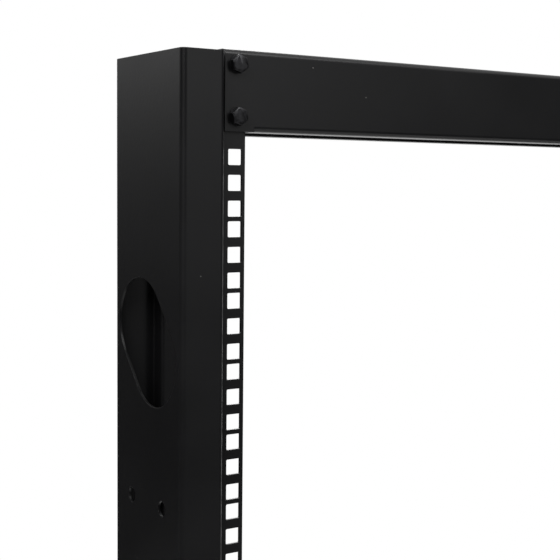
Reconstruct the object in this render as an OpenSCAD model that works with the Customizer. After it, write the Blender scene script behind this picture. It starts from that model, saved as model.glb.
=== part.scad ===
// Two post open frame rack for 19 inch equipment.
// Folded sheet posts with recessed square hole rails, a top and a bottom beam,
// and two tube feet with gussets and levelling pads.
// Origin: middle of the rack on the floor. +X right, +Y to the rear, +Z up.

/* [Rack] */
// Number of rack units between the two beams
units = 42; // [20:1:45]
// Overall width over the two posts
rack_w = 552.5; // [546:0.5:570]
// Front to rear depth of a post
post_d = 90.5; // [86:0.5:110]
// Sheet thickness of the posts and rails
post_t = 1.5; // [1.2:0.1:1.6]
// Outside radius of the bends of a post
post_bend = 3.5; // [3:0.5:5]
// Clear width between the folded lips of the two posts
lip_clear = 492.5; // [488:0.5:494]

/* [Rails] */
// How far a rail lies behind the face of its post
recess = 12; // [9:0.5:14]
// Clear width between the rails, where the equipment passes
opening_w = 450.85; // [450.85:0.05:451.5]
// Spacing of the left and right columns of holes
hole_cols = 465.1; // [464.8:0.1:465.4]
// Side of a square hole for a cage nut
hole = 9.8; // [9.2:0.1:10]
// Corner radius of a square hole
hole_r = 0.8; // [0.4:0.1:1]

/* [Cable slots] */
// Width of a slanted cable slot
slot_w = 59; // [40:1:60]
// Distance between the centres of a slot's round ends
slot_run = 28; // [20:1:32]
// Lean of a slot from upright, upper end to the rear
slot_lean = 41; // [0:0.5:45]
// Height from one slot to the next, 16 inches
slot_pitch = 406.4; // [300:0.1:450]
// From the top of a post down to the first slot's centre
slot_drop = 178.7; // [150:0.1:190]
// Number of slots in a post
slots = 5; // [1:1:5]
// Accessory holes below a slot: distance down from its centre
pair_drop = 102; // [90:0.5:120]
// Accessory holes: spacing, 1 5/8 inches
pair_gap = 41.3; // [30:0.1:44]
// Accessory holes: diameter
pair_hole = 9.8; // [6:0.1:10]

/* [Beams] */
// Height of the top and bottom beams
beam_h = 50; // [44:1:60]
// Sheet thickness of the beams
beam_t = 2; // [1.5:0.1:2]
// Length of a beam, the width of a 19 inch panel
beam_l = 482.6; // [480:0.1:484]
// Width of the lips folded under a beam
beam_lip = 15; // [10:1:20]
// Length of the lips, short of the rails at both ends
lip_l = 440; // [400:1:444]
// Outside radius of the beam's bends
beam_bend = 3.5; // [3:0.5:4]

/* [Base] */
// Front to rear length of a foot
foot_l = 600; // [500:10:700]
// Width and height of the square tube of a foot
foot_w = 51; // [50:1:54]
// Wall of the foot tube
foot_t = 2; // [1.5:0.5:3]
// Height of the foot tube above the floor
foot_lift = 24; // [20:1:30]
// Height of a gusset above its foot
gusset_h = 150; // [120:1:200]
// Reach of a gusset along its foot
gusset_l = 140; // [110:1:160]

/* [Hidden] */
$fn = 48;

// Rack unit pattern: one unit, and the heights of its three holes
unit = 44.45;
unit_holes = [6.35, 22.225, 38.1];
// Plain strip of rail between a beam and the first unit
unit_gap = 9.15;

// Heights, from the floor up
plate_t = 4;
foot_top = foot_lift + foot_w;
post_z = foot_top + plate_t;
low_beam_z = post_z;
first_unit_z = low_beam_z + beam_h + unit_gap;
top_beam_z = first_unit_z + units * unit + unit_gap;
// A post ends just below the sheet of the top beam
post_top = top_beam_z + beam_h - beam_t - 0.5;
post_l = post_top - post_z;
// A rail ends below the round inside of the top beam's bend
rail_l = post_l - (beam_bend - beam_t);

// Plan of a post, at the right of the rack
web_x = rack_w / 2;
lip_x = lip_clear / 2;
face_y = post_d / 2;
rail_y = face_y - recess;
rail_x = opening_w / 2;
rail_bend = 1;
tail = face_y - post_bend;

// Bolt holes shared by pieces that are bolted together
beam_bolts = [beam_h / 2 - 15.875, beam_h / 2 + 15.875];
beam_bolt_d = 6.6;
gusset_bolt_x = 260;
gusset_bolts = [45, 125];
gusset_bolt_d = 7;
foot_bolt_x = 254;
foot_bolts = [40, 115];
foot_bolt_d = 9;
plate_bolt_y = 24;
foot_mid_x = web_x - foot_w / 2;
anchor_y = 240;
anchor_d = 13;
anchor_access_d = 24;
pad_y = 272;
stud_d = 10;
stud_z = 6;
cap_t = 3;
black = "#2a2b2d";
plastic = "#1c1c1e";
zinc = "#a9adb0";

// Points of an arc about c, from angle a to angle b
function arc(c, r, a, b) = [for (i = [0 : 6]) c + r * [cos(a + (b - a) * i / 6), sin(a + (b - a) * i / 6)]];

// Unit vector from a to b
function toward(a, b) = (b - a) / norm(b - a);

// Cross-section of folded sheet: the mid-line of the sheet, its thickness and
// the inside radius of its bends. The corners of the mid-line are right angles.
module fold(path, t, r) {
    mid = r + t / 2;
    last = len(path) - 1;
    for (i = [0 : last - 1]) {
        u = toward(path[i], path[i + 1]);
        from = path[i] + u * (i == 0 ? 0 : mid);
        to = path[i + 1] - u * (i == last - 1 ? 0 : mid);
        translate(from) rotate(atan2(u.y, u.x)) translate([0, -t / 2])
            square([norm(to - from), t]);
    }
    for (i = [1 : last - 1]) {
        u = toward(path[i - 1], path[i]);
        v = toward(path[i], path[i + 1]);
        side = 2 * (mid + t);
        translate(path[i] + (v - u) * mid) intersection() {
            difference() {
                circle(r + t);
                circle(r);
            }
            polygon([[0, 0], -v * side, (u - v) * side, u * side]);
        }
    }
}

// Rectangle with round corners, centred
module round_rect(w, h, r) {
    square([w - 2 * r, h], center = true);
    square([w, h - 2 * r], center = true);
    for (x = [-1, 1], y = [-1, 1]) translate([x * (w / 2 - r), y * (h / 2 - r)]) circle(r);
}

// Outline with round ends, upright before it is turned by lean
module obround(w, run, lean) {
    rotate(-lean) {
        square([w, run], center = true);
        for (y = [-1, 1]) translate([0, y * run / 2]) circle(d = w);
    }
}

// The right hand piece as drawn, or its mirror image for the left
module side(s) {
    if (s < 0) mirror([1, 0, 0]) children();
    else children();
}

// The front piece as drawn, or its mirror image for the rear
module end(s) {
    if (s > 0) mirror([0, 1, 0]) children();
    else children();
}

// Drill along Y through the sheet of the front and of the rear
module drill_y(d, x, z, y_near, y_far) {
    translate([x, y_near, z]) rotate([-90, 0, 0]) cylinder(d = d, h = y_far - y_near);
}

module drill_z(d, x, y, z_low, z_high) {
    translate([x, y, z_low]) cylinder(d = d, h = z_high - z_low);
}

// Heights of the cable slots' centres
slot_z = [for (i = [0 : slots - 1]) post_top - slot_drop - i * slot_pitch];

// A post: channel with its flanges and short lips folded from one sheet
module post(s) {
    color(black) side(s) difference() {
        translate([0, 0, post_z]) linear_extrude(post_l) post_section();
        for (z = slot_z) {
            web_cut(z) obround(slot_w, slot_run, slot_lean);
            for (y = [-1, 1]) web_cut(z - pair_drop) translate([y * pair_gap / 2, 0]) circle(d = pair_hole);
        }
        for (z = gusset_bolts)
            drill_y(gusset_bolt_d, gusset_bolt_x, foot_top + z, -face_y - 1, face_y + 1);
    }
}

module post_section() {
    lip_mid = lip_x + post_t / 2;
    web_mid = web_x - post_t / 2;
    face_mid = face_y - post_t / 2;
    lip_end = rail_y + rail_bend;
    fold([
        [lip_mid, -lip_end], [lip_mid, -face_mid],
        [web_mid, -face_mid], [web_mid, face_mid],
        [lip_mid, face_mid], [lip_mid, lip_end]
    ], post_t, post_bend - post_t);
}

// Cut through the web of the right post, with the outline drawn in Y and Z
module web_cut(z) {
    translate([web_x - post_t - 1, 0, z]) rotate([90, 0, 90]) linear_extrude(post_t + 2) children();
}

// A rail: strip with the square holes, and a narrow leg welded behind the post's lip
module rail(s, e) {
    color(black) side(s) end(e) difference() {
        translate([0, 0, post_z]) linear_extrude(rail_l) rail_section();
        for (u = [0 : units - 1], h = unit_holes) rail_cut(first_unit_z + u * unit + h)
            round_rect(hole, hole, hole_r);
        for (b = [low_beam_z, top_beam_z], h = beam_bolts)
            drill_y(beam_bolt_d, hole_cols / 2, b + h, -rail_y - 1, -rail_y + post_t + 1);
    }
}

module rail_section() {
    strip_mid = -rail_y + post_t / 2;
    leg_mid = lip_x + post_t * 1.5;
    fold([[rail_x, strip_mid], [leg_mid, strip_mid], [leg_mid, -tail]], post_t, rail_bend);
}

// Cut through the strip of the front right rail, with the outline drawn in X and Z
module rail_cut(z) {
    translate([hole_cols / 2, -rail_y + post_t + 1, z]) rotate([90, 0, 0])
        linear_extrude(post_t + 2) children();
}

// A beam: folded over front, top and rear, with lips turned in below.
// Past the lips its front and rear run on flat to the hole columns.
module beam(z, top_runs_on) {
    end_l = (beam_l - lip_l) / 2;
    depth = 2 * (rail_y + beam_t);
    color(black) difference() {
        translate([0, 0, z]) {
            along_x(lip_l, 0) beam_section(depth, beam_lip);
            for (s = [-1, 1]) along_x(end_l, s * (lip_l + end_l) / 2) {
                if (top_runs_on) beam_section(depth, 0);
                else for (e = [-1, 1]) translate([e * (depth - beam_t) / 2, beam_h / 2])
                    square([beam_t, beam_h], center = true);
            }
        }
        for (s = [-1, 1], h = beam_bolts) drill_y(beam_bolt_d, s * hole_cols / 2, z + h,
            -depth / 2 - 1, depth / 2 + 1);
    }
}

// Section of a beam in Y and Z; lip is 0 where the lips are notched away
module beam_section(depth, lip) {
    y = (depth - beam_t) / 2;
    low = lip > 0 ? beam_t / 2 : 0;
    high = beam_h - beam_t / 2;
    lips = lip > 0 ? [[-depth / 2 + lip, low]] : [];
    lips_back = lip > 0 ? [[depth / 2 - lip, low]] : [];
    fold(concat(lips, [[-y, low], [-y, high], [y, high], [y, low]], lips_back),
        beam_t, beam_bend - beam_t);
}

// Extrude a section drawn in Y and Z along X, centred on x
module along_x(l, x) {
    translate([x - l / 2, 0, 0]) rotate([90, 0, 90]) linear_extrude(l) children();
}

// Extrude a section drawn in X and Z along Y, from y_near to y_far
module along_y(y_near, y_far) {
    translate([0, y_far, 0]) rotate([90, 0, 0]) linear_extrude(y_far - y_near) children();
}

// A foot: square tube with its bolt, anchor and levelling holes
module foot(s) {
    half = foot_l / 2 - cap_t;
    color(black) side(s) difference() {
        along_y(-half, half) translate([foot_mid_x, foot_lift + foot_w / 2]) difference() {
            round_rect(foot_w, foot_w, post_bend);
            round_rect(foot_w - 2 * foot_t, foot_w - 2 * foot_t, post_bend - foot_t);
        }
        for (e = [-1, 1]) {
            drill_z(stud_d + 1, foot_mid_x, e * pad_y, foot_lift - 1, foot_lift + foot_t + 1);
            drill_z(anchor_d, foot_mid_x, e * anchor_y, foot_lift - 1, foot_lift + foot_t + 1);
            drill_z(anchor_access_d, foot_mid_x, e * anchor_y, foot_top - foot_t - 1, foot_top + 1);
            drill_z(foot_bolt_d, foot_mid_x, e * plate_bolt_y, foot_top - foot_t - 1, foot_top + 1);
            for (b = foot_bolts)
                drill_z(foot_bolt_d, foot_bolt_x, e * (face_y + b), foot_top - foot_t - 1, foot_top + 1);
        }
    }
}

// The plate that a post and its rails are welded to, bolted on the foot
module base_plate(s) {
    color(black) side(s) difference() {
        translate([foot_mid_x, 0, foot_top]) linear_extrude(plate_t)
            round_rect(foot_w, post_d, post_bend);
        for (e = [-1, 1])
            drill_z(foot_bolt_d, foot_mid_x, e * plate_bolt_y, foot_top - 1, foot_top + plate_t + 1);
    }
}

// A gusset: triangle of 3 mm sheet with one flange on the post and one on the foot
module gusset(s, e) {
    t = 3;
    bend = 3;
    relief = 8;
    far = -face_y - gusset_l;
    web_mid = web_x - t / 2;
    post_flange = 26;
    foot_flange = 42;
    tip = 22;
    round = 8;
    // Slope of the long edge, and the angle of its outward normal
    top = foot_top + gusset_h;
    slope = atan2(gusset_h - tip, gusset_l - tip);
    out = 90 + slope;
    color(black) side(s) end(e) difference() {
        intersection() {
            union() {
                translate([0, 0, foot_top + relief]) linear_extrude(gusset_h - relief)
                    fold([[web_x - post_flange, -face_y - t / 2], [web_mid, -face_y - t / 2],
                        [web_mid, far]], t, bend);
                along_y(far, -face_y - relief)
                    fold([[web_x - foot_flange, foot_top + t / 2], [web_mid, foot_top + t / 2],
                        [web_mid, foot_top + gusset_h]], t, bend);
            }
            // Side outline, with blunt, rounded tips
            along_x(foot_w + 10, foot_mid_x) polygon(concat(
                [[-face_y, foot_top], [-face_y, top]],
                arc([-face_y - tip + round * tan(slope / 2), top - round], round, 90, out),
                arc([far + round, foot_top + tip - round * tan(45 - slope / 2)], round, out, 180),
                [[far, foot_top]]
            ));
        }
        for (b = gusset_bolts)
            drill_y(gusset_bolt_d, gusset_bolt_x, foot_top + b, -face_y - t - 1, -face_y + 1);
        for (b = foot_bolts)
            drill_z(foot_bolt_d, foot_bolt_x, -face_y - b, foot_top - 1, foot_top + t + 1);
    }
}

// Moulded plug that closes the end of a foot tube
module foot_cap(s, e) {
    clear = 0.2;
    spigot = 12;
    inner = foot_w - 2 * foot_t - 2 * clear;
    color(plastic) side(s) end(e) translate([0, 0, foot_lift + foot_w / 2]) {
        along_y(-foot_l / 2, -foot_l / 2 + cap_t) translate([foot_mid_x, 0])
            round_rect(foot_w, foot_w, post_bend);
        along_y(-foot_l / 2 + cap_t, -foot_l / 2 + cap_t + spigot) translate([foot_mid_x, 0]) difference() {
            round_rect(inner, inner, post_bend - foot_t);
            round_rect(inner - 4, inner - 4, 1);
        }
    }
}

// Moulded levelling pad with a blind socket for its stud
module levelling_pad(s, e) {
    clear = 0.1;
    neck = 14;
    color(plastic) side(s) end(e) translate([foot_mid_x, -pad_y, 0]) rotate_extrude() polygon([
        [0, 0], [22, 0], [23, 1], [23, 5], [20, 7], [10, 10], [8, 11], [8, neck],
        [stud_d / 2 + clear, neck], [stud_d / 2 + clear, stud_z], [0, stud_z]
    ]);
}

// Levelling stud, with the lock nut that bears on the foot
module levelling_stud(s, e) {
    nut_across = 17;
    nut_h = 8;
    chamfer = 1;
    top = foot_lift + 25;
    color(zinc) side(s) end(e) translate([foot_mid_x, -pad_y, 0]) {
        rotate_extrude() polygon([
            [0, stud_z], [stud_d / 2, stud_z], [stud_d / 2, top - chamfer],
            [stud_d / 2 - chamfer, top], [0, top]
        ]);
        translate([0, 0, foot_lift - nut_h]) cylinder(d = nut_across / cos(30), h = nut_h, $fn = 6);
    }
}

post(-1);  // post_left
post(1);  // post_right
rail(-1, -1);  // rail_front_left
rail(1, -1);  // rail_front_right
rail(-1, 1);  // rail_rear_left
rail(1, 1);  // rail_rear_right
beam(top_beam_z, true);  // top_beam
beam(low_beam_z, false);  // bottom_beam
foot(-1);  // foot_left
foot(1);  // foot_right
base_plate(-1);  // base_plate_left
base_plate(1);  // base_plate_right
gusset(-1, -1);  // gusset_front_left
gusset(1, -1);  // gusset_front_right
gusset(-1, 1);  // gusset_rear_left
gusset(1, 1);  // gusset_rear_right
foot_cap(-1, -1);  // foot_cap_front_left
foot_cap(1, -1);  // foot_cap_front_right
foot_cap(-1, 1);  // foot_cap_rear_left
foot_cap(1, 1);  // foot_cap_rear_right
levelling_pad(-1, -1);  // levelling_pad_front_left
levelling_pad(1, -1);  // levelling_pad_front_right
levelling_pad(-1, 1);  // levelling_pad_rear_left
levelling_pad(1, 1);  // levelling_pad_rear_right
levelling_stud(-1, -1);  // levelling_stud_front_left
levelling_stud(1, -1);  // levelling_stud_front_right
levelling_stud(-1, 1);  // levelling_stud_rear_left
levelling_stud(1, 1);  // levelling_stud_rear_right
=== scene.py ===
"""Two post open frame rack: paint, plastic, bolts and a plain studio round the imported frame."""

import math

import bmesh
import bpy
from bpy.props import FloatProperty, FloatVectorProperty, IntProperty, PointerProperty
from mathutils import Matrix, Vector


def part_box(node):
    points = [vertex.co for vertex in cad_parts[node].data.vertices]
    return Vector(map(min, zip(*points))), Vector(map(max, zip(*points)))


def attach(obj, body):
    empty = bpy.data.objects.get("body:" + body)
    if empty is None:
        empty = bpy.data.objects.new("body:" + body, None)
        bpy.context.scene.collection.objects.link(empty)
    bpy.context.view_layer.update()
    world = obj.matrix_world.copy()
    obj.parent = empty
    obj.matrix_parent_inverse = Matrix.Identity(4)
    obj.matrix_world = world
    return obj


bl_info = {
    "name": "Two post open frame rack",
    "version": (1, 0, 0),
    "blender": (4, 5, 0),
    "location": "3D View > Sidebar > Rack",
    "description": "Finishes, fasteners and a studio for a two post open frame rack",
    "category": "Object",
}

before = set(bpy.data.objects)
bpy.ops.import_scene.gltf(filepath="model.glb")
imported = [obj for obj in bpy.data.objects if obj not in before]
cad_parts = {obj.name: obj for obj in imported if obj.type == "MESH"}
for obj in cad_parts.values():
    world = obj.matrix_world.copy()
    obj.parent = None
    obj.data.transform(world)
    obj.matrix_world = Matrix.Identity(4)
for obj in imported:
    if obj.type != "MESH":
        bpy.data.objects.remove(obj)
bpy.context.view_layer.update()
MM = 0.001


def nodes_of(slot):
    """Names of the frame's nodes that the record gives this material slot."""
    return sorted(n for n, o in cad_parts.items() if o.data.materials[0].name == slot)


COAT, PLATE = "powder_coated_steel", "zinc_plated_steel"
COATED = nodes_of(COAT)
MOULDED = nodes_of("moulded_plastic")
PLATED = nodes_of(PLATE)

# Planes of the frame that fasteners sit on
BEAM_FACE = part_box("top_beam")[1].y
POST_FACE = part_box("post_right")[1].y
PLATE_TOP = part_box("base_plate_right")[1].z
FOOT_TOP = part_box("foot_right")[1].z
PAD_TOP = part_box("levelling_pad_rear_right")[1].z
FOOT_MID = sum(c.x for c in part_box("foot_right")) / 2
STUD_X = sum(c.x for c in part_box("levelling_stud_rear_right")) / 2
STUD_Y = sum(c.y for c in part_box("levelling_stud_rear_right")) / 2
# Length of stud that shows between its pad and its nut
STUD_SHOWN = 2 * MM

# Sheet that the bolts pass through
GUSSET_SHEET = 3 * MM
BEAM_SHEET = 2 * MM
RAIL_SHEET = 1.5 * MM
POST_SHEET = 1.5 * MM
FOOT_WALL = 2 * MM

# Hole centres that the frame's pieces share
HOLE_COLUMN = 232.55 * MM
BEAM_BOLT_STEP = 15.875 * MM
GUSSET_BOLT_X = 260 * MM
GUSSET_BOLT_UP = (45 * MM, 125 * MM)
FOOT_BOLT_X = 254 * MM
FOOT_BOLT_OUT = (40 * MM, 115 * MM)
PLATE_BOLT_Y = 24 * MM

# Part of a noise texture's range that nearly all of its values fall in
NOISE_LOW, NOISE_HIGH = 0.3, 0.7

# Shapes of screws, as shares of their own sizes
CROWN_SHARE = 0.475  # radius of a head's flat crown, of the width across its flats
CONE_SLOPE = math.sqrt(3)  # a corner is turned off at 30 degrees to the crown
BOLT_PITCH_SHARE = 1 / 6  # thread pitch, of the shank
BOLT_HELIX_SHARE = 0.49  # radius the thread is wound on, of the shank
BOLT_RIDGE_SHARE = 0.42  # half thickness of the thread's ridge, of the pitch
STUD_RIDGE_SHARE = 0.36
NUT_TURN = 0.35  # angle that nuts are turned against their heads
SHARP_ANGLE = math.radians(32)

# Studio: unseen cards, as centre, width, height, brightest point, its strength, the length
# over which it falls off, and the strength far out
FLAGS = (
    ("rear_flag", (-1.40, 2.23, 1.40), 3.2, 1.9, (-1.40, 2.23, 2.35), 1.0, 0.20, 0.035),
    ("front_flag", (1.90, -2.20, 1.80), 7.0, 3.5, (1.10, -2.70, 2.50), 2.4, 0.42, 0.01),
    ("corner_flag", (-1.90, -1.30, 1.80), 8.0, 3.4, (-1.90, -1.30, 1.80), 0.10, 0.50, 0.05),
)
# Lamps, as place, point looked at, side of the square, and watts
SOFTBOXES = (
    ("key_light", (-1.6, -1.2, 3.2), (-0.2, 0, 1.9), 1.2, 50),
    ("fill_light", (0.9, -2.4, 4.0), (0, 0, 1.4), 1.6, 46),
    ("back_light", (0.5, 2.4, 3.0), (0, 0, 1.0), 1.6, 40),
)
WORLD_LIGHT = 0.35  # strength of the surroundings as light, where 1 is white to the lens
FLOOR_FADE_START = 0.6  # metres from the rack at which the floor starts to fade to white
CAMERA_PLACE = (-0.6129, -0.6642, 1.9828)
CAMERA_YAW, CAMERA_PITCH, CAMERA_ROLL = 0.581, -0.081, 0.010


def linear(code):
    """An sRGB hex colour as linear red, green, blue and alpha."""
    parts = [int(code[i:i + 2], 16) / 255 for i in (1, 3, 5)]
    return [c / 12.92 if c <= 0.04045 else ((c + 0.055) / 1.055) ** 2.4 for c in parts] + [1.0]


def add(tree, kind, sockets=None, **settings):
    """Add a node with its settings. A socket's value is a number, or an output to link from."""
    made = tree.nodes.new(kind)
    for name, value in settings.items():
        setattr(made, name, value)
    for key, value in (sockets or {}).items():
        if isinstance(value, bpy.types.NodeSocket):
            tree.links.new(value, made.inputs[key])
        else:
            made.inputs[key].default_value = value
    return made


def calc(tree, operation, a, b):
    """What a Math node makes of two values, each a number or an output."""
    return add(tree, "ShaderNodeMath", {0: a, 1: b}, operation=operation).outputs[0]


def spread(tree, noise, low, high):
    """A noise's usual range, stretched over the values from low to high."""
    return add(tree, "ShaderNodeMapRange", {
        "Value": noise.outputs["Fac"], "From Min": NOISE_LOW, "From Max": NOISE_HIGH,
        "To Min": low, "To Max": high}).outputs["Result"]


def shaded(tree, colour, tone):
    """A colour made lighter and darker by a tone."""
    return add(tree, "ShaderNodeVectorMath", {
        0: colour[:3], "Scale": tone}, operation="SCALE").outputs["Vector"]


# ---------------------------------------------------------------- sizes and colours


class RackFinish(bpy.types.PropertyGroup):
    """Colours and surface of the rack's finishes"""

    paint: FloatVectorProperty(
        name="Paint", description="Colour of the powder coat", subtype="COLOR",
        size=4, min=0, max=1, default=linear("#0e0e0f"))
    paint_gloss: FloatProperty(
        name="Paint roughness", description="0 is a mirror, 1 is dead matt", subtype="FACTOR",
        min=0, max=1, default=0.32)
    peel: FloatProperty(
        name="Orange peel", description="Width of one wave of the paint's skin",
        subtype="DISTANCE", unit="LENGTH", min=0.0005, max=0.01, default=0.0022)
    plastic: FloatVectorProperty(
        name="Plastic", description="Colour of the moulded caps and pads", subtype="COLOR",
        size=4, min=0, max=1, default=linear("#1a1a1b"))
    zinc: FloatVectorProperty(
        name="Bolts", description="Colour of the black zinc on the bolts", subtype="COLOR",
        size=4, min=0, max=1, default=linear("#3a3a3c"))


class RackFasteners(bpy.types.PropertyGroup):
    """Sizes of the M6 and M8 bolts"""

    beam_across: FloatProperty(
        name="M6 across flats", description="Width of an M6 head and nut",
        subtype="DISTANCE", unit="LENGTH", default=0.010)
    beam_head: FloatProperty(
        name="M6 head height", description="Height of an M6 head",
        subtype="DISTANCE", unit="LENGTH", default=0.004)
    foot_across: FloatProperty(
        name="M8 across flats", description="Width of an M8 head and nut",
        subtype="DISTANCE", unit="LENGTH", default=0.013)
    foot_head: FloatProperty(
        name="M8 head height", description="Height of an M8 head",
        subtype="DISTANCE", unit="LENGTH", default=0.0053)
    seed: IntProperty(
        name="Seed", description="Turns each bolt head to its own angle", default=4)


class RackStudio(bpy.types.PropertyGroup):
    """Floor and light"""

    floor: FloatVectorProperty(
        name="Floor", description="Colour of the floor near the rack", subtype="COLOR",
        size=4, min=0, max=1, default=linear("#f4f4f3"))
    floor_radius: FloatProperty(
        name="Floor radius", description="Half width of the round floor",
        subtype="DISTANCE", unit="LENGTH", default=4.0)
    lens: FloatProperty(
        name="Lens", description="Focal length of the camera",
        subtype="DISTANCE_CAMERA", unit="CAMERA", default=76.5)


# ---------------------------------------------------------------- materials


def material(name):
    """A new material, its tree and its main shader."""
    made = bpy.data.materials.new(name)
    made.use_nodes = True
    tree = made.node_tree
    return made, tree, next(n for n in tree.nodes if n.type == "BSDF_PRINCIPLED")


def powder_coat(finish):
    """Black polyester powder coat on folded steel: sprayed dry and melted in an oven.

    It flows out unevenly, which gives a satin skin with a fine orange peel. It draws
    back a little at cut edges, and a few grains of dust lie on it.
    """
    made, tree, shader = material("Black powder coat")
    where = add(tree, "ShaderNodeTexCoord").outputs["Object"]
    peel = add(tree, "ShaderNodeTexNoise", {
        "Vector": where, "Scale": 1 / finish.peel, "Detail": 2.0, "Roughness": 0.45})
    # Grit of 0.7 mm, coarser than the real grain of the powder so that it shows
    grit = add(tree, "ShaderNodeTexNoise", {
        "Vector": where, "Scale": 1 / (0.7 * MM), "Detail": 1.0, "Roughness": 0.5})
    cloud = add(tree, "ShaderNodeTexNoise", {
        "Vector": where, "Scale": 1 / (90 * MM), "Detail": 3.0, "Roughness": 0.55})
    # Dust grains of about 0.5 mm, one in each 16 mm cell, and only in some cells
    dust = add(tree, "ShaderNodeTexVoronoi", {
        "Vector": where, "Scale": 1 / (16 * MM), "Randomness": 1.0}, feature="F1")
    grain = add(tree, "ShaderNodeMapRange", {
        "Value": dust.outputs["Distance"], "From Min": 0.012, "From Max": 0.028,
        "To Min": 1.0, "To Max": 0.0})
    picked = add(tree, "ShaderNodeSeparateColor", {"Color": dust.outputs["Color"]})
    chosen = calc(tree, "GREATER_THAN", picked.outputs["Red"], 0.55)
    speck = calc(tree, "MULTIPLY", grain.outputs["Result"], chosen)

    tone = spread(tree, cloud, 0.9, 1.1)
    shade = shaded(tree, finish.paint, tone)
    coloured = add(tree, "ShaderNodeMix", {
        "Factor": speck, "A": shade,
        "B": linear("#6f6e6c")}, data_type="RGBA")
    tree.links.new(coloured.outputs["Result"], shader.inputs["Base Color"])

    gloss = spread(tree, cloud, finish.paint_gloss - 0.04, finish.paint_gloss + 0.05)
    dusty = add(tree, "ShaderNodeMath", {
        0: gloss, 1: speck}, operation="ADD", use_clamp=True)
    tree.links.new(dusty.outputs["Value"], shader.inputs["Roughness"])

    soft_edge = add(tree, "ShaderNodeBevel", {"Radius": 0.5 * MM}, samples=4)
    fine = add(tree, "ShaderNodeBump", {
        "Height": grit.outputs["Fac"], "Strength": 0.25, "Distance": 0.02 * MM,
        "Normal": soft_edge.outputs["Normal"]})
    wave = add(tree, "ShaderNodeBump", {
        "Height": peel.outputs["Fac"], "Strength": 0.5, "Distance": 0.06 * MM,
        "Normal": fine.outputs["Normal"]})
    tree.links.new(wave.outputs["Normal"], shader.inputs["Normal"])
    # The matting wax in the powder scatters the first reflection, which makes it weaker
    # than a clear film's
    shader.inputs["Specular IOR Level"].default_value = 0.28
    return made


def moulded_plastic(finish):
    """Black polypropylene, injection moulded in a spark eroded tool: a dull, even grain."""
    made, tree, shader = material("Moulded polypropylene")
    where = add(tree, "ShaderNodeTexCoord").outputs["Object"]
    grain = add(tree, "ShaderNodeTexNoise", {
        "Vector": where, "Scale": 1 / (0.8 * MM), "Detail": 2.0})
    cloud = add(tree, "ShaderNodeTexNoise", {
        "Vector": where, "Scale": 1 / (18 * MM), "Detail": 2.0})
    tone = spread(tree, cloud, 0.88, 1.12)
    shade = shaded(tree, finish.plastic, tone)
    rough = spread(tree, cloud, 0.52, 0.62)
    soft_edge = add(tree, "ShaderNodeBevel", {"Radius": 0.5 * MM}, samples=4)
    bump = add(tree, "ShaderNodeBump", {
        "Height": grain.outputs["Fac"], "Strength": 0.35, "Distance": 0.05 * MM,
        "Normal": soft_edge.outputs["Normal"]})
    tree.links.new(shade, shader.inputs["Base Color"])
    tree.links.new(rough, shader.inputs["Roughness"])
    tree.links.new(bump.outputs["Normal"], shader.inputs["Normal"])
    shader.inputs["IOR"].default_value = 1.49
    return made


def bright_zinc():
    """Clear passivated zinc on the levelling studs and their nuts: pale, with a faint spangle."""
    made, tree, shader = material("Bright zinc plate")
    where = add(tree, "ShaderNodeTexCoord").outputs["Object"]
    patch = add(tree, "ShaderNodeTexNoise", {
        "Vector": where, "Scale": 1 / (3 * MM), "Detail": 3.0, "Roughness": 0.6})
    tone = spread(tree, patch, 0.85, 1.08)
    shade = shaded(tree, linear("#a9adb0"), tone)
    rough = spread(tree, patch, 0.28, 0.42)
    soft_edge = add(tree, "ShaderNodeBevel", {"Radius": 0.2 * MM}, samples=4)
    tree.links.new(shade, shader.inputs["Base Color"])
    tree.links.new(rough, shader.inputs["Roughness"])
    tree.links.new(soft_edge.outputs["Normal"], shader.inputs["Normal"])
    shader.inputs["Metallic"].default_value = 1.0
    return made


def black_zinc(finish):
    """Black passivated zinc on cold formed steel bolts: dark metal with a dull, patchy sheen."""
    made, tree, shader = material("Black zinc plate")
    where = add(tree, "ShaderNodeTexCoord").outputs["Object"]
    patch = add(tree, "ShaderNodeTexNoise", {
        "Vector": where, "Scale": 1 / (2.5 * MM), "Detail": 3.0, "Roughness": 0.6})
    tone = spread(tree, patch, 0.45, 0.8)
    shade = shaded(tree, finish.zinc, tone)
    rough = spread(tree, patch, 0.3, 0.45)
    soft_edge = add(tree, "ShaderNodeBevel", {"Radius": 0.15 * MM}, samples=4)
    bump = add(tree, "ShaderNodeBump", {
        "Height": patch.outputs["Fac"], "Strength": 0.3, "Distance": 0.03 * MM,
        "Normal": soft_edge.outputs["Normal"]})
    tree.links.new(shade, shader.inputs["Base Color"])
    tree.links.new(rough, shader.inputs["Roughness"])
    tree.links.new(bump.outputs["Normal"], shader.inputs["Normal"])
    shader.inputs["Metallic"].default_value = 0.9
    return made


# ---------------------------------------------------------------- fasteners


def new_tree(name, result, lengths, seed=None):
    """A node tree that takes seats, lengths, a finish and perhaps a seed, with its inputs."""
    tree = bpy.data.node_groups.new(name, "GeometryNodeTree")
    face = tree.interface
    face.new_socket("Seats", in_out="INPUT", socket_type="NodeSocketGeometry")
    for label, default in lengths:
        socket = face.new_socket(label, in_out="INPUT", socket_type="NodeSocketFloat")
        socket.subtype = "DISTANCE"
        socket.default_value = default
    if seed is not None:
        face.new_socket("Seed", in_out="INPUT", socket_type="NodeSocketInt").default_value = seed
    face.new_socket("Finish", in_out="INPUT", socket_type="NodeSocketMaterial")
    face.new_socket(result, in_out="OUTPUT", socket_type="NodeSocketGeometry")
    return tree, add(tree, "NodeGroupInput").outputs


def end_tree(tree, size, placed):
    """Make what was placed real, give it its finish and hand it out."""
    real = add(tree, "GeometryNodeRealizeInstances", {"Geometry": placed})
    painted = add(tree, "GeometryNodeSetMaterial", {
        "Geometry": real.outputs[0], "Material": size["Finish"]})
    add(tree, "NodeGroupOutput", {0: painted.outputs[0]})


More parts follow.
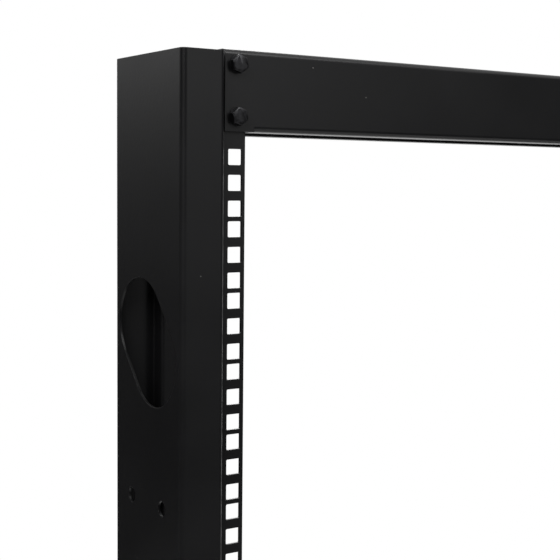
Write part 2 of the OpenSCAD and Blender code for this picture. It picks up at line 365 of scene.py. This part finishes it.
def bolt_tree():
    """Geometry Nodes that put a hex bolt, with its washer and nut, on every seat.

    A seat is a point with an axis that looks out of the sheet. The head stands on the
    seat, and the shank goes in behind it through the grip to the nut.
    """
    tree, size = new_tree("Hex bolts", "Bolts", (
        ("Across flats", 0.010), ("Head height", 0.004), ("Shank", 0.006), ("Grip", 0.0035),
        ("Nut height", 0.005), ("Washer", 0.0125), ("Washer sheet", 0.0012),
        ("Thread end", 0.004)), seed=4)

    def rod(diameter, length, low, sides=32):
        """Upright rod from the height low, which may be an output."""
        mesh = add(tree, "GeometryNodeMeshCylinder", {
            "Vertices": sides, "Radius": calc(tree, "MULTIPLY", diameter, 0.5), "Depth": length})
        up = add(tree, "ShaderNodeCombineXYZ", {
            "Z": calc(tree, "ADD", low, calc(tree, "MULTIPLY", length, 0.5))})
        return add(tree, "GeometryNodeTransform", {
            "Geometry": mesh.outputs["Mesh"], "Translation": up.outputs[0]}).outputs[0]

    def hexagon(height):
        """Hexagon of a head or nut whose outer corners are turned to a cone of 30 degrees."""
        corner = calc(tree, "DIVIDE", size["Across flats"], 2 * math.cos(math.pi / 6))
        prism = rod(calc(tree, "MULTIPLY", corner, 2.0), height, 0.0, sides=6)
        flat = calc(tree, "MULTIPLY", size["Across flats"], CROWN_SHARE)
        cone = add(tree, "GeometryNodeMeshCone", {
            "Vertices": 48, "Radius Top": flat,
            "Radius Bottom": calc(tree, "ADD", flat, calc(tree, "MULTIPLY", height, CONE_SLOPE)),
            "Depth": height})
        cut = add(tree, "GeometryNodeMeshBoolean", operation="INTERSECT", solver="EXACT")
        tree.links.new(prism, cut.inputs["Mesh 2"])
        tree.links.new(cone.outputs["Mesh"], cut.inputs["Mesh 2"])
        return cut.outputs["Mesh"]

    washer = rod(size["Washer"], size["Washer sheet"], 0.0)
    head = add(tree, "GeometryNodeTransform", {
        "Geometry": hexagon(size["Head height"]),
        "Translation": add(tree, "ShaderNodeCombineXYZ", {"Z": size["Washer sheet"]}).outputs[0]})
    behind = calc(tree, "MULTIPLY", size["Grip"], -1.0)
    back_washer = rod(size["Washer"], size["Washer sheet"],
                      calc(tree, "SUBTRACT", behind, size["Washer sheet"]))
    nut_face = calc(tree, "SUBTRACT", behind, size["Washer sheet"])
    nut = add(tree, "GeometryNodeTransform", {
        "Geometry": hexagon(size["Nut height"]),
        "Translation": add(tree, "ShaderNodeCombineXYZ", {"Z": nut_face}).outputs[0],
        "Rotation": (math.pi, 0.0, NUT_TURN)})
    tail = calc(tree, "ADD", size["Nut height"], size["Thread end"])
    shank_length = calc(tree, "ADD", tail, calc(tree, "ADD", size["Grip"], size["Washer sheet"]))
    shank = rod(size["Shank"], shank_length, calc(tree, "MULTIPLY", shank_length, -1.0), sides=24)
    # Thread that shows past the nut: a ridge wound on the shank
    pitch = calc(tree, "MULTIPLY", size["Shank"], BOLT_PITCH_SHARE)
    turns = calc(tree, "DIVIDE", size["Thread end"], pitch)
    wound_on = calc(tree, "MULTIPLY", size["Shank"], BOLT_HELIX_SHARE)
    helix = add(tree, "GeometryNodeCurveSpiral", {
        "Resolution": 20, "Rotations": turns, "Start Radius": wound_on,
        "End Radius": wound_on, "Height": size["Thread end"]})
    ridge = add(tree, "GeometryNodeCurvePrimitiveCircle", {
        "Resolution": 4, "Radius": calc(tree, "MULTIPLY", pitch, BOLT_RIDGE_SHARE)}, mode="RADIUS")
    thread = add(tree, "GeometryNodeCurveToMesh", {
        "Curve": helix.outputs["Curve"], "Profile Curve": ridge.outputs["Curve"],
        "Fill Caps": True})
    thread = add(tree, "GeometryNodeTransform", {
        "Geometry": thread.outputs["Mesh"],
        "Translation": add(tree, "ShaderNodeCombineXYZ", {
            "Z": calc(tree, "MULTIPLY", shank_length, -1.0)}).outputs[0]})
    bolt = add(tree, "GeometryNodeJoinGeometry")
    for part in (thread.outputs[0], shank, nut.outputs[0], back_washer, head.outputs[0], washer):
        tree.links.new(part, bolt.inputs["Geometry"])

    axis = add(tree, "GeometryNodeInputNamedAttribute", {"Name": "axis"}, data_type="FLOAT_VECTOR")
    stand = add(tree, "FunctionNodeAlignRotationToVector", {
        "Vector": axis.outputs["Attribute"]}, axis="Z")
    spin = add(tree, "FunctionNodeRandomValue", {
        "Min": 0.0, "Max": math.pi / 3, "Seed": size["Seed"]}, data_type="FLOAT")
    turn = add(tree, "FunctionNodeAxisAngleToRotation", {
        "Axis": (0.0, 0.0, 1.0), "Angle": next(
            o for o in spin.outputs if o.enabled and o.type == "VALUE")})
    both = add(tree, "FunctionNodeRotateRotation", {
        "Rotation": stand.outputs[0], "Rotate By": turn.outputs[0]}, rotation_space="LOCAL")
    placed = add(tree, "GeometryNodeInstanceOnPoints", {
        "Points": size["Seats"], "Instance": bolt.outputs[0], "Rotation": both.outputs[0]})
    end_tree(tree, size, placed.outputs[0])
    return tree


def thread_tree():
    """Geometry Nodes that wind a rolled thread on every stud, from its seat up."""
    tree, size = new_tree("Stud thread", "Threads", (
        ("Stud", 0.010), ("Pitch", 0.0015), ("Height", STUD_SHOWN)))
    radius = calc(tree, "MULTIPLY", size["Stud"], 0.5)
    helix = add(tree, "GeometryNodeCurveSpiral", {
        "Resolution": 32, "Rotations": calc(tree, "DIVIDE", size["Height"], size["Pitch"]),
        "Start Radius": radius, "End Radius": radius, "Height": size["Height"]})
    ridge = add(tree, "GeometryNodeCurvePrimitiveCircle", {
        "Resolution": 6, "Radius": calc(tree, "MULTIPLY", size["Pitch"], STUD_RIDGE_SHARE)},
        mode="RADIUS")
    wound = add(tree, "GeometryNodeCurveToMesh", {
        "Curve": helix.outputs["Curve"], "Profile Curve": ridge.outputs["Curve"],
        "Fill Caps": True})
    placed = add(tree, "GeometryNodeInstanceOnPoints", {
        "Points": size["Seats"], "Instance": wound.outputs[0]})
    end_tree(tree, size, placed.outputs[0])
    return tree


def grow(name, seats, tree, sizes):
    """Run a tree on its seats and keep what it makes as one plain piece on the frame."""
    mesh = bpy.data.meshes.new(name)
    mesh.from_pydata([place for place, _ in seats], [], [])
    axis = mesh.attributes.new("axis", "FLOAT_VECTOR", "POINT")
    axis.data.foreach_set("vector", [c for _, out in seats for c in out])
    piece = bpy.data.objects.new(name, mesh)
    bpy.context.scene.collection.objects.link(piece)
    modifier = piece.modifiers.new("grow", "NODES")
    modifier.node_group = tree
    for item in tree.interface.items_tree:
        if item.in_out == "INPUT" and item.name in sizes:
            modifier[item.identifier] = sizes[item.name]
    graph = bpy.context.evaluated_depsgraph_get()
    made = bpy.data.meshes.new_from_object(piece.evaluated_get(graph), depsgraph=graph)
    if not made.polygons:
        raise RuntimeError(f"{name} came out empty")
    piece.modifiers.remove(modifier)
    piece.data = made
    made.shade_smooth()
    made.set_sharp_from_angle(angle=SHARP_ANGLE)
    return piece


def fasten(name, seats, tree, sizes):
    """Grow small fasteners that ride on the frame."""
    piece = grow(name, seats, tree, sizes)
    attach(piece, "root")


def mirrored(x, y, z, axis):
    """One seat in each of the four corners of the rack."""
    return [
        ((sx * x, sy * y, z), (sx * axis[0], sy * axis[1], axis[2]))
        for sx in (-1, 1) for sy in (-1, 1)]


# ---------------------------------------------------------------- operators


class RackOperator(bpy.types.Operator):
    """Shared by the rack's operators"""

    bl_options = {"REGISTER", "UNDO"}


class RACK_OT_coat_steel(RackOperator):
    """Give the posts, rails, beams, feet, plates and gussets their powder coat"""

    bl_idname = "rack.coat_steel"
    bl_label = "Powder coat"

    def execute(self, context):
        coat = powder_coat(context.scene.rack_finish)
        for name in COATED:
            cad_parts[name].material_slots[0].material = coat
        return {"FINISHED"}


class RACK_OT_mould_plastic(RackOperator):
    """Give the foot caps and levelling pads their moulded skin"""

    bl_idname = "rack.mould_plastic"
    bl_label = "Moulded plastic"

    def execute(self, context):
        plastic = moulded_plastic(context.scene.rack_finish)
        for name in MOULDED:
            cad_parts[name].material_slots[0].material = plastic
        return {"FINISHED"}


class RACK_OT_plate_studs(RackOperator):
    """Give the levelling studs and lock nuts their zinc, and wind the studs' threads"""

    bl_idname = "rack.plate_studs"
    bl_label = "Levelling studs"

    def execute(self, context):
        zinc = bright_zinc()
        for name in PLATED:
            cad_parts[name].material_slots[0].material = zinc
        seats = mirrored(STUD_X, STUD_Y, PAD_TOP, (0, 0, 1))
        fasten("stud_threads", seats, thread_tree(), {"Height": STUD_SHOWN, "Finish": zinc})
        return {"FINISHED"}


class RACK_OT_beam_bolts(RackOperator):
    """Fit the M6 bolts that hold the two beams to the rails"""

    bl_idname = "rack.beam_bolts"
    bl_label = "Beam bolts"

    def execute(self, context):
        sizes = context.scene.rack_fasteners
        seats = []
        for beam in ("top_beam", "bottom_beam"):
            low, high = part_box(beam)
            for step in (-1, 1):
                z = (low.z + high.z) / 2 + step * BEAM_BOLT_STEP
                seats += mirrored(HOLE_COLUMN, BEAM_FACE, z, (0, 1, 0))
        fasten("beam_bolts", seats, bolt_tree(), {
            "Across flats": sizes.beam_across, "Head height": sizes.beam_head,
            "Grip": BEAM_SHEET + RAIL_SHEET, "Washer": 11 * MM, "Washer sheet": 0.6 * MM,
            "Seed": sizes.seed, "Finish": black_zinc(context.scene.rack_finish)})
        return {"FINISHED"}


class RACK_OT_gusset_bolts(RackOperator):
    """Fit the M6 bolts between gussets and posts"""

    bl_idname = "rack.gusset_bolts"
    bl_label = "Gusset bolts"

    def execute(self, context):
        sizes = context.scene.rack_fasteners
        seats = []
        for up in GUSSET_BOLT_UP:
            seats += mirrored(GUSSET_BOLT_X, POST_FACE + GUSSET_SHEET, FOOT_TOP + up, (0, 1, 0))
        fasten("gusset_bolts", seats, bolt_tree(), {
            "Across flats": sizes.beam_across, "Head height": sizes.beam_head,
            "Grip": GUSSET_SHEET + POST_SHEET, "Washer": 12.5 * MM, "Washer sheet": 1.2 * MM,
            "Seed": sizes.seed + 1, "Finish": bpy.data.materials["Black zinc plate"]})
        return {"FINISHED"}


class RACK_OT_foot_bolts(RackOperator):
    """Fit the M8 bolts that hold gussets and base plates to the feet"""

    bl_idname = "rack.foot_bolts"
    bl_label = "Foot bolts"

    def execute(self, context):
        sizes = context.scene.rack_fasteners
        zinc = bpy.data.materials["Black zinc plate"]
        common = {
            "Across flats": sizes.foot_across, "Head height": sizes.foot_head, "Shank": 8 * MM,
            "Nut height": 6.5 * MM, "Washer": 16 * MM, "Washer sheet": 1.6 * MM,
            "Thread end": 4 * MM, "Finish": zinc}
        seats = []
        for out in FOOT_BOLT_OUT:
            seats += mirrored(FOOT_BOLT_X, POST_FACE + out, FOOT_TOP + GUSSET_SHEET, (0, 0, 1))
        fasten("gusset_foot_bolts", seats, bolt_tree(), {
            **common, "Grip": GUSSET_SHEET + FOOT_WALL, "Seed": sizes.seed + 2})
        seats = mirrored(FOOT_MID, PLATE_BOLT_Y, PLATE_TOP, (0, 0, 1))
        fasten("base_plate_bolts", seats, bolt_tree(), {
            **common, "Grip": PLATE_TOP - FOOT_TOP + FOOT_WALL, "Seed": sizes.seed + 3})
        return {"FINISHED"}


def any_of(tree, *outputs):
    """1 where any of the outputs is 1."""
    total = outputs[0]
    for output in outputs[1:]:
        total = calc(tree, "MAXIMUM", total, output)
    return total


def seen_by_lens(tree):
    """1 for what the camera sees straight on, in a gloss or through glass."""
    path = add(tree, "ShaderNodeLightPath").outputs
    return any_of(tree, path["Is Camera Ray"], path["Is Glossy Ray"], path["Is Transmission Ray"])


def softbox(name, place, aim, side, watts):
    """A square soft lamp that looks at a point."""
    lamp = bpy.data.lights.new(name, "AREA")
    lamp.shape = "SQUARE"
    lamp.size, lamp.energy = side, watts
    holder = bpy.data.objects.new(name, lamp)
    holder.location = place
    holder.rotation_euler = (Vector(aim) - Vector(place)).to_track_quat("-Z", "Y").to_euler()
    bpy.context.scene.collection.objects.link(holder)


def flag(name, centre, width, height, glow, peak, reach, rest):
    """A card that glosses alone see, turned to the rack and dark but for one soft bright spot.

    The faces that mirror it take its tone, and it takes no light off the rack. Its strength
    is peak at the point glow, falls off over the length reach, and is rest far out.
    """
    mesh = bpy.data.meshes.new(name)
    across = Vector((-centre[1], centre[0], 0)).normalized() * width / 2
    foot, top = (Vector((centre[0], centre[1], centre[2] + e * height / 2)) for e in (-1, 1))
    corners = [foot - across, foot + across, top + across, top - across]
    mesh.from_pydata(corners, [], [(0, 1, 2, 3)])
    card = bpy.data.objects.new(name, mesh)
    bpy.context.scene.collection.objects.link(card)
    card.visible_camera = card.visible_diffuse = card.visible_shadow = False
    painted, tree, shader = material(name)
    where = add(tree, "ShaderNodeTexCoord").outputs["Object"]
    away = add(tree, "ShaderNodeVectorMath", {0: where, 1: glow}, operation="DISTANCE")
    fall = calc(tree, "POWER", math.exp(-1 / reach), away.outputs["Value"])
    tone = add(tree, "ShaderNodeMapRange", {
        "Value": fall, "To Min": rest, "To Max": peak})
    light = add(tree, "ShaderNodeEmission", {"Strength": tone.outputs["Result"]})
    tree.links.new(light.outputs[0], tree.nodes["Material Output"].inputs["Surface"])
    tree.nodes.remove(shader)
    mesh.materials.append(painted)


class RACK_OT_studio(RackOperator):
    """Set the floor, the surroundings, the lamps and the camera"""

    bl_idname = "rack.studio"
    bl_label = "Studio"

    def execute(self, context):
        studio = context.scene.rack_studio
        scene = context.scene

        mesh = bpy.data.meshes.new("studio_floor")
        shape = bmesh.new()
        bmesh.ops.create_circle(shape, cap_ends=True, segments=128, radius=studio.floor_radius)
        shape.to_mesh(mesh)
        shape.free()
        floor = bpy.data.objects.new("studio_floor", mesh)
        scene.collection.objects.link(floor)
        painted, tree, shader = material("Studio floor")
        shader.inputs["Base Color"].default_value = studio.floor
        shader.inputs["Roughness"].default_value = 0.9
        where = add(tree, "ShaderNodeTexCoord").outputs["Object"]
        away = add(tree, "ShaderNodeVectorMath", {0: where}, operation="LENGTH").outputs["Value"]
        fade = add(tree, "ShaderNodeMapRange", {
            "Value": away, "From Min": FLOOR_FADE_START, "From Max": 0.5 * studio.floor_radius},
            interpolation_type="SMOOTHERSTEP")
        share = calc(tree, "MULTIPLY", fade.outputs["Result"], seen_by_lens(tree))
        white = add(tree, "ShaderNodeEmission", {"Color": (1, 1, 1, 1), "Strength": 1.0})
        mixed = add(tree, "ShaderNodeMixShader", {
            0: share, 1: shader.outputs[0], 2: white.outputs[0]})
        tree.links.new(mixed.outputs[0], tree.nodes["Material Output"].inputs["Surface"])
        mesh.materials.append(painted)

        world = bpy.data.worlds.new("Studio surroundings")
        scene.world = world
        world.use_nodes = True
        tree = world.node_tree
        strength = add(tree, "ShaderNodeMapRange", {
            "Value": seen_by_lens(tree), "To Min": WORLD_LIGHT, "To Max": 1.0})
        backdrop = next(n for n in tree.nodes if n.type == "BACKGROUND")
        backdrop.inputs["Color"].default_value = (1, 1, 1, 1)
        tree.links.new(strength.outputs["Result"], backdrop.inputs["Strength"])

        for card in FLAGS:
            flag(*card)
        for lamp in SOFTBOXES:
            softbox(*lamp)

        lens = bpy.data.cameras.new("camera")
        lens.sensor_width = 36
        lens.lens = studio.lens
        lens.clip_end = 50
        camera = bpy.data.objects.new("camera", lens)
        scene.collection.objects.link(camera)
        scene.camera = camera
        level = math.cos(CAMERA_PITCH)
        ahead = Vector((
            math.sin(CAMERA_YAW) * level, math.cos(CAMERA_YAW) * level, math.sin(CAMERA_PITCH)))
        right = ahead.cross(Vector((0, 0, 1))).normalized()
        up = right.cross(ahead)
        right, up = (
            right * math.cos(CAMERA_ROLL) + up * math.sin(CAMERA_ROLL),
            up * math.cos(CAMERA_ROLL) - right * math.sin(CAMERA_ROLL))
        turn = Matrix((right, up, -ahead)).transposed().to_4x4()
        camera.matrix_world = Matrix.Translation(CAMERA_PLACE) @ turn

        scene.view_settings.view_transform = "Standard"
        return {"FINISHED"}


OPERATORS = (
    RACK_OT_coat_steel, RACK_OT_mould_plastic, RACK_OT_plate_studs, RACK_OT_beam_bolts,
    RACK_OT_gusset_bolts, RACK_OT_foot_bolts, RACK_OT_studio)
GROUPS = (
    ("rack_finish", RackFinish), ("rack_fasteners", RackFasteners), ("rack_studio", RackStudio))


class RACK_PT_panel(bpy.types.Panel):
    """The rack's sizes, colours and steps"""

    bl_label = "Rack"
    bl_idname = "RACK_PT_panel"
    bl_space_type = "VIEW_3D"
    bl_region_type = "UI"
    bl_category = "Rack"

    def draw(self, context):
        for attribute, group in GROUPS:
            box = self.layout.box()
            for prop in group.__annotations__:
                box.prop(getattr(context.scene, attribute), prop)
        for operator in OPERATORS:
            self.layout.operator(operator.bl_idname)


def register():
    for attribute, group in GROUPS:
        bpy.utils.register_class(group)
        setattr(bpy.types.Scene, attribute, PointerProperty(type=group))
    for made in (*OPERATORS, RACK_PT_panel):
        bpy.utils.register_class(made)


def unregister():
    for made in reversed((*OPERATORS, RACK_PT_panel)):
        bpy.utils.unregister_class(made)
    for attribute, group in reversed(GROUPS):
        delattr(bpy.types.Scene, attribute)
        bpy.utils.unregister_class(group)


def main():
    """Make every piece in order."""
    register()
    for operator in OPERATORS:
        module, name = operator.bl_idname.split(".")
        getattr(getattr(bpy.ops, module), name)()


if __name__ == "__main__":
    main()
